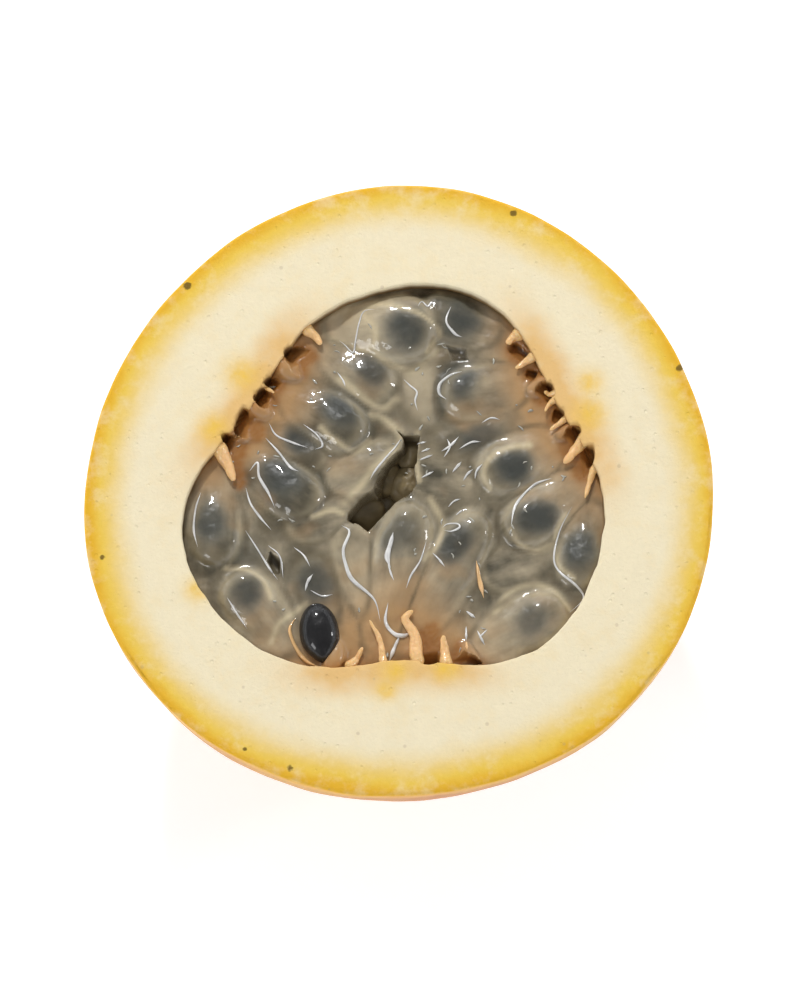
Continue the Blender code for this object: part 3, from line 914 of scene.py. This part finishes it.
def rind_finish(colours, piece):
    """Waxy golden skin that passes into dry cream-white pith at the cut."""
    paint = Finish("rind")
    depth = paint.attribute("depth")
    flesh = paint.attribute("flesh")
    zone = paint.attribute("zone")
    wall = paint.attribute("wall")
    yellow = paint.attribute("yellow") * (0.5 + paint.noise(1.2, 3))

    blotch = paint.noise(0.12, 2)
    inward = depth + (blotch - 0.5) * 2.0 + (paint.noise(0.9, 3) - 0.5) * 0.8
    pith = paint.mix(inward.between(0.2, 1.8), colours.rim, colours.under_rim)
    pith = paint.mix(inward.between(1.2, 6.2), pith, colours.pith)
    pith = paint.mix(paint.noise(0.4, 4, 0.6).between(0.45, 0.75) * 0.5, pith, colours.pith_cloud)
    peach = zone * 1.15 + (paint.noise(0.4, 4) - 0.5) * zone * 1.4
    pith = paint.mix(peach.clamped(), pith, colours.placenta)
    pith = paint.mix(yellow * 0.85, pith, colours.yellow_spot)
    pith = paint.mix(paint.spots(3.1, 0.3, 0.45) * 0.3, pith, colours.pith_speck)
    for x, y, size in MARKS:
        pith = paint.mix(paint.disc(x, y, size) * 0.9, pith, colours.mark)
    # Painted shade: the pith darkens down the hollow's wall, where shadow falls
    pith = paint.mix(wall.between(0.2, 1.8), pith, colours.wall)
    pith = paint.mix(paint.attribute("pit") * 0.9, pith, colours.pit)
    pith = paint.shade(pith, 0.92 + paint.noise(1.6, 4, 0.65) * 0.1)

    ripeness = paint.noise(0.035, 2)
    skin = paint.mix(ripeness.between(0.42, 0.66), colours.skin, colours.skin_deep)
    skin = paint.mix(ripeness.between(0.46, 0.3) * 0.7, skin, colours.skin_green)
    skin = paint.mix(paint.noise(0.5, 5, 0.6).between(0.5, 0.75) * 0.2, skin, colours.skin_fleck)
    skin = paint.mix(paint.attribute("edge") * 0.7, skin, colours.rim)
    skin = paint.mix(paint.spots(2.2, 0.16, 0.3) * 0.55, skin, colours.scar)
    blemish = paint.spots(15, 1.5, 0.35) * paint.noise(0.8, 3).between(0.42, 0.6)
    skin = paint.mix(blemish, skin, colours.scar)

    skin_relief = paint.noise(0.7, 4, 0.55) * 0.25 + paint.noise(4.5, 2) * 0.05
    pith_relief = paint.noise(2.2, 5, 0.7) * 0.22 - paint.spots(1.3, 0.22, 0.6) * 0.12
    relief = skin_relief * (1 - flesh) + pith_relief * flesh
    paint.dress(
        {
            "Base Color": paint.mix(flesh, skin, pith),
            "Roughness": 0.46 + flesh * 0.22 + (paint.noise(0.6, 3) - 0.5) * 0.16,
            "Specular IOR Level": 0.15,
            "Coat Weight": (1 - flesh) * 0.2,
            "Coat Roughness": 0.25,
            "Normal": paint.bump(relief, 0.5),
        },
        piece,
    )


def pulp_shape(sizes):
    """The sacs, joined to the core that they lie on."""
    low = FACE_Z - sizes.hollow_depth + sizes.gap
    high = FACE_Z - sizes.pool_drop
    profile = [(0, high)]
    for turn in (0, *turns(26)[:-1]):
        radius, drop = bowl_point(sizes.hollow_radius + 0.2 * MM, high - low, HOLLOW_POWER, turn)
        profile.append((radius, high - drop))
    shape = spun([*profile, (0, low)], 96)
    for vert in shape.verts:
        grown = hollow_reach(sizes, math.atan2(vert.co.y, vert.co.x)) / sizes.hollow_radius
        back = max(0, min((vert.co.y - 20.5 * MM) / (2 * MM), 1))
        if vert.co.z > high - 0.1 * MM:
            vert.co.z -= 0.7 * MM * back
        vert.co.x *= grown
        vert.co.y *= grown
    for spine, width, height, _ in sac_spines(sizes):
        add_lobe(shape, bow(*spine), sac_girth(width), 32, 24, height / width, SAC_BACK)
    for thick, *points in ROOTS:
        add_lobe(shape, stalk_path(points, 1.3), root_girth(thick * MM), 16, 16)
    return shape


def root_girth(thick):
    """Half the thickness along the root of a sac, which widens into the wall."""
    return lambda share: thick / 2 * (1.3 - 0.5 * share)


def sac_girth(width):
    """Half the width along a sac: narrow at its root and round at its tip."""

    def girth(share):
        plump = (1 - abs(2 * share - 1) ** SAC_POWER) ** (1 / SAC_POWER)
        sphere = math.sqrt(max(1 - (2 * share - 1) ** 2, 1e-6))
        return width / 2 * plump / sphere * (SAC_ROOT + (1 - SAC_ROOT) * share)

    return girth


def sac_spines(sizes):
    """Three points along each sac, its width and height and how pale it is."""
    for bearing, tip_x, tip_y, width, rise, pale in SACS:
        turn = math.radians(bearing)
        reach = hollow_reach(sizes, turn) - 1.6 * MM
        height = width * SAC_HEIGHT * MM
        middle = FACE_Z + rise * MM - height / 2
        root = Vector((reach * math.cos(turn), reach * math.sin(turn), middle - 1.2 * MM))
        tip = Vector((tip_x * MM, tip_y * MM, middle))
        yield (root, (root + tip) / 2 + Vector((0, 0, 0.4 * MM)), tip), width * MM, height, pale
    for x, y, long, width, bearing, rise, pale in LOOSE_SACS:
        height = width * SAC_HEIGHT * MM
        middle = Vector((x * MM, y * MM, FACE_Z + rise * MM - height / 2))
        turn = math.radians(bearing)
        half = Vector((math.cos(turn), math.sin(turn), 0)) * long * MM / 2
        yield (middle + half, middle, middle - half), width * MM, height, pale


class FRUIT_OT_pulp(Operator):
    """Builds the heap of seed sacs on its core, with the slit and the pits in it"""

    bl_idname = "fruit.pulp"
    bl_label = "Pulp"

    def execute(self, context):
        sizes = context.scene.fruit_sizes
        piece = as_piece("seed_sacs", pulp_shape(sizes))
        remesh = piece.modifiers.new("one skin", "REMESH")
        remesh.mode = "VOXEL"
        remesh.voxel_size = sizes.voxel
        apply_modifiers(piece)
        cut_open(piece, openings(OPENINGS), "openings")
        smooth = piece.modifiers.new("soften", "SMOOTH")
        smooth.factor = 0.5
        smooth.iterations = 2
        apply_modifiers(piece)
        roughen(piece.data, 3.2, 0.14)
        roughen(piece.data, 1.2, 0.05)
        paint_sacs(sizes, piece.data)
        pulp_finish(context.scene.fruit_colours, piece)
        hand_over(piece, "pulp", "pulp")
        self.deep_sacs(context.scene.fruit_colours)
        return {"FINISHED"}

    def deep_sacs(self, colours):
        """Builds the sacs that show deep in the slit."""
        shape = bmesh.new()
        for x, y, drop, radius in DEEP_SACS:
            place = Matrix.Translation((x * MM, y * MM, FACE_Z - drop * MM))
            ball = {"u_segments": 32, "v_segments": 24, "radius": radius * MM}
            bmesh.ops.create_uvsphere(shape, matrix=place, **ball)
        piece = as_piece("deep_sacs", shape)
        roughen(piece.data, 2.2, 0.6)
        paint = Finish("deep_sacs")
        tone = paint.shade(colours.slit, 0.5 + paint.noise(0.5, 3))
        paint.dress({"Base Color": tone, "Roughness": 0.45}, piece)
        hand_over(piece, "pulp")


def seed_share(points):
    """1 over the middle of a seed, fading to 0 a little beyond its edge."""
    share = np.zeros(len(points))
    for x, y, long, width, bearing, dark in SEEDS:
        turn = math.radians(bearing)
        gap_x = points[:, 0] - x
        gap_y = points[:, 1] - y
        along = (gap_x * math.cos(turn) + gap_y * math.sin(turn)) / (long / 2)
        across = (gap_y * math.cos(turn) - gap_x * math.sin(turn)) / (width / 2)
        share = np.maximum(share, dark * smooth_step(1.55, 0.25, np.hypot(along, across)))
    return share


def line_share(points, rows):
    """1 along some lines X, Y in millimetres, fading to 0 about their width away."""
    share = np.zeros(len(points))
    for width, *line in rows:
        path = smooth_path([(x, y, 0) for x, y in line])
        for step in range(41):
            place = path(step / 40)
            gap = np.hypot(points[:, 0] - place.x, points[:, 1] - place.y) / width
            share = np.maximum(share, np.exp(-(gap**2)))
    return share


def sac_outline(run, wide):
    """1 on the rounded outline of a sac, and less inside it."""
    return (np.abs(run) ** SAC_POWER + np.abs(wide) ** SAC_POWER) ** (1 / SAC_POWER)


def sac_places(points, spine, width, height):
    """Millimetres along and across a sac, the share of its length, its level and its level in plan."""
    root, _, tip = (np.array(point) / MM for point in spine)
    long = np.linalg.norm(tip - root)
    ahead = (tip - root) / long
    side = np.array((-ahead[1], ahead[0], 0)) / math.hypot(ahead[0], ahead[1])
    offset = points - (root + tip) / 2
    along = offset @ ahead
    across = offset @ side
    run = along / (long / 2)
    lift = np.abs(offset[:, 2] / (height / MM / 2)) ** (1 / SAC_BACK)
    girth = SAC_ROOT + (1 - SAC_ROOT) * np.clip((run + 1) / 2, 0, 1)
    wide = across / (width / MM / 2)
    level = sac_outline(run, np.hypot(wide, lift) / girth)
    return along, across, run, level, sac_outline(run, wide / girth)


def paint_sacs(sizes, mesh):
    """Keeps for each vertex how much seed, edge, crease, warmth and depth shows there."""
    points = points_of(mesh)
    nearest = np.full(len(points), CORE_LEVEL)
    second = np.full(len(points), 9.0)
    weights = np.exp(-BORDER * nearest)
    tone = weights * CORE_PALENESS
    line = np.zeros(len(points))
    place_across = points[:, 0].copy()
    place_along = points[:, 1].copy()
    for number, (spine, width, height, pale) in enumerate(sac_spines(sizes)):
        along, across, run, level, plan = sac_places(points, spine, width, height)
        mine = level < nearest
        second = np.where(mine, nearest, np.minimum(second, level))
        nearest = np.where(mine, level, nearest)
        weight = np.exp(-BORDER * np.minimum(level, 4))
        weights += weight
        tone += weight * (pale - 0.3 * np.clip(run, -1, 1))
        # Pale edge near the rim of each sac on its tip side, partly its skin and partly painted light
        edge = np.exp(-(((plan - EDGE_LEVEL) / EDGE_WIDTH) ** 2)) * smooth_step(-0.5, 0.4, run)
        line += weight * edge * 0.4
        place_across = np.where(mine, across + STRAND_SHIFT * number, place_across)
        place_along = np.where(mine, along, place_along)
    bearing = np.arctan2(points[:, 1], points[:, 0])
    from_wall = hollow_reach(sizes, bearing) / MM - np.hypot(points[:, 0], points[:, 1])
    store(mesh, "seed", seed_share(points))
    # The pale sac edges, partly painted light, from the sacs' rims and from the listed lines
    store(mesh, "line", np.maximum(line / weights, line_share(points, EDGES)))
    store(mesh, "tone", tone / weights)
    store(mesh, "across", place_across)
    store(mesh, "along", place_along)
    # Where two sacs meet, which sets the painted shade of the creases and the fading of the strands
    store(mesh, "crease", smooth_step(0.16, 0.0, second - nearest))
    reach = np.where(points[:, 1] < -8, 8.0, 4.6)
    store(mesh, "warm", np.exp(-((from_wall / reach) ** 2)) * placenta_share(bearing))
    # Depth below the cut face, which sets the painted shade where the jelly lies low
    store(mesh, "below", FACE_Z / MM - points[:, 2])
    store(mesh, "pit", pit_share(points) * smooth_step(0.3, 2.0, FACE_Z / MM - points[:, 2]))
    store(mesh, "root", np.exp(-np.maximum(from_wall, 0) / 1.3) * placenta_share(bearing))


def pulp_finish(colours, piece):
    """Wet grey jelly that shows the seeds as blue-grey shades."""
    paint = Finish("pulp")
    seed = paint.attribute("seed")
    warm = paint.attribute("warm")
    below = paint.attribute("below")
    cloud = paint.noise(0.35, 3)
    place = {0: paint.attribute("across"), 1: paint.attribute("along") * 0.3}
    strand_place = paint.node("CombineXYZ", {}, place)
    border = paint.attribute("crease")
    strand = 0.5 + (paint.noise(0.6, 3, 0.5, place=strand_place) - 0.5) * (1 - border)
    tone = paint.attribute("tone") + (cloud - 0.5) + (strand - 0.5) * 1.1
    jelly = paint.mix(tone.clamped(), colours.jelly, colours.jelly_clear)
    jelly = paint.mix(paint.noise(0.16, 2).between(0.5, 0.72) * 0.4, jelly, colours.jelly_warm)
    jelly = paint.mix((warm * 1.8 + (cloud - 0.5) * warm).clamped() * 0.9, jelly, colours.jelly_warm)
    jelly = paint.mix(paint.attribute("root") * 0.85, jelly, colours.jelly_root)
    seed = seed + (paint.noise(0.45, 3) - 0.5) * 0.7 * seed
    jelly = paint.mix(seed.between(0, 0.7) * 0.7, jelly, colours.seed_haze)
    jelly = paint.mix(seed.between(0.35, 1.0) * 0.95, jelly, colours.seed_shade)
    # Pale sac edges: partly the sacs' skins, partly painted light gathered through the jelly
    line = paint.attribute("line") * (0.5 + strand)
    jelly = paint.mix(line * 0.85, jelly, colours.jelly_edge_light)
    # Painted shade: the jelly darkens in the creases between the sacs and where it lies low
    crease = border * (0.35 + paint.noise(0.3, 2).between(0.35, 0.65) * 0.65)
    jelly = paint.mix(crease * 0.6, jelly, colours.jelly_shade)
    jelly = paint.mix(below.between(1.6, 3.6) * 0.6, jelly, colours.jelly_shade)
    jelly = paint.mix(below.between(3.6, 6), jelly, colours.slit)
    jelly = paint.mix(paint.attribute("pit") * 0.9, jelly, colours.pit)
    relief = paint.noise(0.5, 2) * 0.7 + strand * 0.25 + paint.noise(2.4, 2) * 0.06
    paint.dress(
        {
            "Base Color": jelly,
            "Roughness": 0.35,
            "Specular IOR Level": 0.2,
            "Coat Weight": 1.0,
            "Coat Roughness": 0.03,
            "Coat IOR": 1.4,
            "Normal": paint.bump(relief, 0.32),
            "Subsurface Weight": 0.3,
            "Subsurface Radius": (1.0, 0.9, 0.75),
            "Subsurface Scale": MM,
        },
        piece,
    )


def stalk_path(points, drop):
    """A path through points X, Y in millimetres that dips in its middle, a drop below the cut face."""
    last = len(points) - 1
    dips = [drop + 0.5 * math.sin(3 * place / last) for place in range(last + 1)]
    return smooth_path([(x * MM, y * MM, FACE_Z - dip * MM) for (x, y), dip in zip(points, dips)])


class FRUIT_OT_stalks(Operator):
    """Builds the stalks that stand on the wall and hold the sacs"""

    bl_idname = "fruit.stalks"
    bl_label = "Stalks"

    def execute(self, context):
        sizes = context.scene.fruit_sizes
        colours = context.scene.fruit_colours
        shape = bmesh.new()
        for thick, *points in STALKS:
            add_lobe(shape, stalk_path(points, 0.9), self.girth(thick * MM), 16, 26, 0.9)
        knife = FACE_Z - 0.1 * MM
        for vert in shape.verts:
            if vert.co.z > knife:
                vert.co.z = knife + (vert.co.z - knife) * 0.08
        piece = as_piece("stalks", shape)
        roughen(piece.data, 0.9, 0.1)
        stalk_finish(sizes, colours, piece)
        hand_over(piece, "rind")
        return {"FINISHED"}

    def girth(self, thick):
        """Half the thickness along a stalk: broad at its root and a little knobbed at its tip."""
        return lambda share: thick / 2 * (0.8 + 1.8 * (1 - share) ** 3 + 0.3 * share**5)


def stalk_finish(sizes, colours, piece):
    """Moist peach-coloured flesh, paler at the root."""
    points = points_of(piece.data)
    reach = hollow_reach(sizes, np.arctan2(points[:, 1], points[:, 0])) / MM
    store(piece.data, "along", reach - np.hypot(points[:, 0], points[:, 1]))
    paint = Finish("stalks")
    along = paint.attribute("along")
    flesh = paint.mix(along.between(-0.3, 1.8), colours.placenta, colours.stalk)
    flesh = paint.shade(flesh, 0.9 + paint.noise(1.5, 3) * 0.2)
    paint.dress(
        {
            "Base Color": flesh,
            "Roughness": 0.35,
            "Coat Weight": 0.6,
            "Coat Roughness": 0.1,
            "Normal": paint.bump(paint.noise(2.5, 3), 0.2),
            "Subsurface Weight": 0.3,
            "Subsurface Radius": (1.0, 0.6, 0.3),
            "Subsurface Scale": MM,
        },
        piece,
    )


def scattered_glints():
    """Small wrinkles all over the jelly, in the same form as the folds, painted pale as highlights."""
    chance = random.Random(GLINT_SEED)
    rows = []
    for _ in range(GLINTS):
        turn = chance.uniform(0, math.tau)
        out = GLINT_REACH * math.sqrt(chance.random())
        middle = Vector((out * math.cos(turn), out * math.sin(turn)))
        ahead = Vector((chance.uniform(0.12, 0.5), 0))
        ahead.rotate(Matrix.Rotation(chance.uniform(0, math.tau), 2))
        bend = ahead.orthogonal() * chance.uniform(-0.4, 0.4)
        if (middle - BARE_SEED).length > GLINT_SPACE:
            rows.append((chance.uniform(0.2, 0.45), middle - ahead, middle + bend, middle + ahead))
    return rows


class FRUIT_OT_folds(Operator):
    """Builds the folds of clear skin that catch the light between the sacs, with painted highlights"""

    bl_idname = "fruit.folds"
    bl_label = "Folds"

    def execute(self, context):
        colours = context.scene.fruit_colours
        jelly = bpy.data.objects["seed_sacs"]
        ground = BVHTree.FromObject(jelly, bpy.context.evaluated_depsgraph_get())
        # Folds and glints are painted pale as highlights; the orange folds keep the stalks' colour
        for name, rows, colour, rings in (
            ("folds", FOLDS, colours.fold, 16),
            ("glints", scattered_glints(), colours.glint, 4),
            ("orange_folds", ORANGE_FOLDS, colours.stalk, 16),
        ):
            shape = bmesh.new()
            for thick, *points in rows:
                path = self.laid(ground, smooth_path([(x * MM, y * MM, 0) for x, y in points]))
                if path(0.5).z > FACE_Z + LOWEST_FOLD:
                    add_lobe(shape, path, self.girth(thick * MM), 8, rings * len(points), 1.5)
            piece = as_piece(name, shape)
            fold_finish(name, colour, piece)
            hand_over(piece, "pulp")
        return {"FINISHED"}

    def laid(self, ground, path):
        """The path dropped on the jelly."""
        points = [path(step / 24) for step in range(25)]
        for point in points:
            found = ground.ray_cast(Vector((point.x, point.y, FACE_Z + 5 * MM)), Vector((0, 0, -1)))[0]
            point.z = max(found.z if found else FACE_Z - MM, FACE_Z + LOWEST_FOLD)
        return smooth_path(points)

    def girth(self, thick):
        """Half the thickness along a fold: fine at both ends, with a slow swell between."""

        def girth(share):
            swelling = 0.1 + 0.3 * math.sin(math.pi * share)
            return thick * swelling * (1 + 0.2 * math.sin(share * 11))

        return girth


def fold_finish(name, colour, piece):
    """Thin wet skin, paler than the jelly under it; on folds and glints the paleness is a painted
    highlight.
    """
    paint = Finish(name)
    paint.dress(
        {
            "Base Color": paint.shade(colour, 0.5 + paint.noise(0.6, 2) * 0.9),
            "Roughness": 0.2,
            "Coat Weight": 1.0,
            "Coat Roughness": 0.03,
        },
        piece,
    )


class FRUIT_OT_bare_seed(Operator):
    """Builds the black seed that lies in its opened sac"""

    bl_idname = "fruit.bare_seed"
    bl_label = "Bare seed"

    def execute(self, context):
        shape = bmesh.new()
        bmesh.ops.create_uvsphere(shape, u_segments=48, v_segments=32, radius=0.5)
        for vert in shape.verts:
            point_end = 1 - 0.45 * max(0, -vert.co.y * 2) ** 3
            vert.co.x *= point_end
            vert.co.z *= 0.75 + 0.25 * point_end
        size = Matrix.Diagonal((*(Vector(BARE_SEED_SIZE) * MM), 1))
        lean = Matrix.Rotation(math.radians(BARE_SEED_LEAN), 4, "Z")
        place = Matrix.Translation((BARE_SEED.x * MM, BARE_SEED.y * MM, FACE_Z - BARE_SEED_DROP * MM))
        shape.transform(place @ lean @ size)
        piece = as_piece("bare_seed", shape)
        bare_seed_finish(context.scene.fruit_colours, piece)
        hand_over(piece, "pulp")
        return {"FINISHED"}


def bare_seed_finish(colours, piece):
    """A glossy black seed coat with fine pits."""
    paint = Finish("bare_seed")
    pits = paint.noise(1.1, 2)
    paint.dress(
        {
            # Lighter grain of the pits that is partly a painted sheen
            "Base Color": paint.mix(pits, colours.bare_seed, colours.seed_grain_and_sheen),
            "Roughness": 0.45,
            "Specular IOR Level": 0.2,
            "Coat Weight": 0.7,
            "Coat Roughness": 0.02,
            "Coat IOR": 1.45,
            "Normal": paint.bump(pits, 0.12),
        },
        piece,
    )


class FRUIT_OT_stage(Operator):
    """Builds the floor, the lights and the camera"""

    bl_idname = "fruit.stage"
    bl_label = "Stage"

    def execute(self, context):
        scene = context.scene
        stage = scene.fruit_stage
        self.floor(scene.fruit_colours, stage)
        for row in SOFTBOXES:
            self.softbox(*row)
        self.sky(scene, stage)
        self.camera(scene, stage)
        return {"FINISHED"}

    def floor(self, colours, stage):
        """A round floor that curves up at its edge and glows a little, as a lit studio floor does."""
        profile = [(0, 0), (FLOOR_RADIUS, 0)]
        for turn in turns(8):
            rise = COVE_RADIUS * (1 - math.cos(turn))
            profile.append((FLOOR_RADIUS + COVE_RADIUS * math.sin(turn), rise))
        shape = spun([*profile, (FLOOR_RADIUS + COVE_RADIUS, WALL_TOP)], 64)
        bmesh.ops.reverse_faces(shape, faces=shape.faces)
        floor = as_piece("floor", shape)
        glow = {"Emission Color": (0.92, 0.96, 1), "Emission Strength": stage.glow}
        Finish("floor").dress({"Base Color": colours.floor, "Roughness": 0.7, **glow}, floor)

    def softbox(self, name, place, size, power):
        """A square lamp that faces the fruit."""
        lamp = bpy.data.lights.new(name, "AREA")
        lamp.size = size
        lamp.energy = power
        box = bpy.data.objects.new(name, lamp)
        box.location = place
        box.rotation_euler = (Vector(place) - Vector((0, 0, FACE_Z))).to_track_quat("Z", "Y").to_euler()
        box.visible_camera = False
        bpy.context.scene.collection.objects.link(box)

    def sky(self, scene, stage):
        """Soft light from all sides."""
        scene.world = bpy.data.worlds.new("studio")
        scene.world.use_nodes = True
        background = scene.world.node_tree.nodes["Background"]
        background.inputs["Color"].default_value = (0.95, 0.97, 1, 1)
        background.inputs["Strength"].default_value = stage.sky
        scene.view_settings.view_transform = "Standard"

    def camera(self, scene, stage):
        """A camera in front of the fruit that looks steeply down on the cut."""
        camera = bpy.data.objects.new("camera", bpy.data.cameras.new("camera"))
        scene.collection.objects.link(camera)
        back = Vector((0, -math.cos(stage.elevation), math.sin(stage.elevation)))
        camera.location = AIM + back * stage.distance
        camera.rotation_euler = back.to_track_quat("Z", "Y").to_euler()
        camera.data.sensor_width = FILM
        camera.data.lens = FILM * stage.distance / (stage.view_width * PICTURE_HEIGHT / PICTURE_WIDTH)
        scene.camera = camera


class FRUIT_PT_panel(Panel):
    """Lists the pieces of the fruit"""

    bl_label = "Passion Fruit Half"
    bl_idname = "FRUIT_PT_panel"
    bl_space_type = "VIEW_3D"
    bl_region_type = "UI"
    bl_category = "Fruit"

    def draw(self, context):
        for operator in OPERATORS:
            self.layout.operator(operator.bl_idname)


GROUPS = {"fruit_sizes": FruitSizes, "fruit_colours": FruitColours, "fruit_stage": StageSettings}
OPERATORS = (
    FRUIT_OT_rind,
    FRUIT_OT_pulp,
    FRUIT_OT_stalks,
    FRUIT_OT_folds,
    FRUIT_OT_bare_seed,
    FRUIT_OT_stage,
)


def register():
    """Adds the classes and hangs the settings on the scene."""
    for item in (*GROUPS.values(), *OPERATORS, FRUIT_PT_panel):
        bpy.utils.register_class(item)
    for name, group in GROUPS.items():
        setattr(bpy.types.Scene, name, PointerProperty(type=group))


def unregister():
    """Takes the settings and the classes away again."""
    for name in GROUPS:
        delattr(bpy.types.Scene, name)
    for item in (FRUIT_PT_panel, *reversed(OPERATORS), *reversed(GROUPS.values())):
        bpy.utils.unregister_class(item)


def main():
    """Builds every piece and the stage."""
    register()
    bpy.ops.fruit.rind()
    bpy.ops.fruit.pulp()
    bpy.ops.fruit.stalks()
    bpy.ops.fruit.folds()
    bpy.ops.fruit.bare_seed()
    bpy.ops.fruit.stage()


if __name__ == "__main__":
    main()
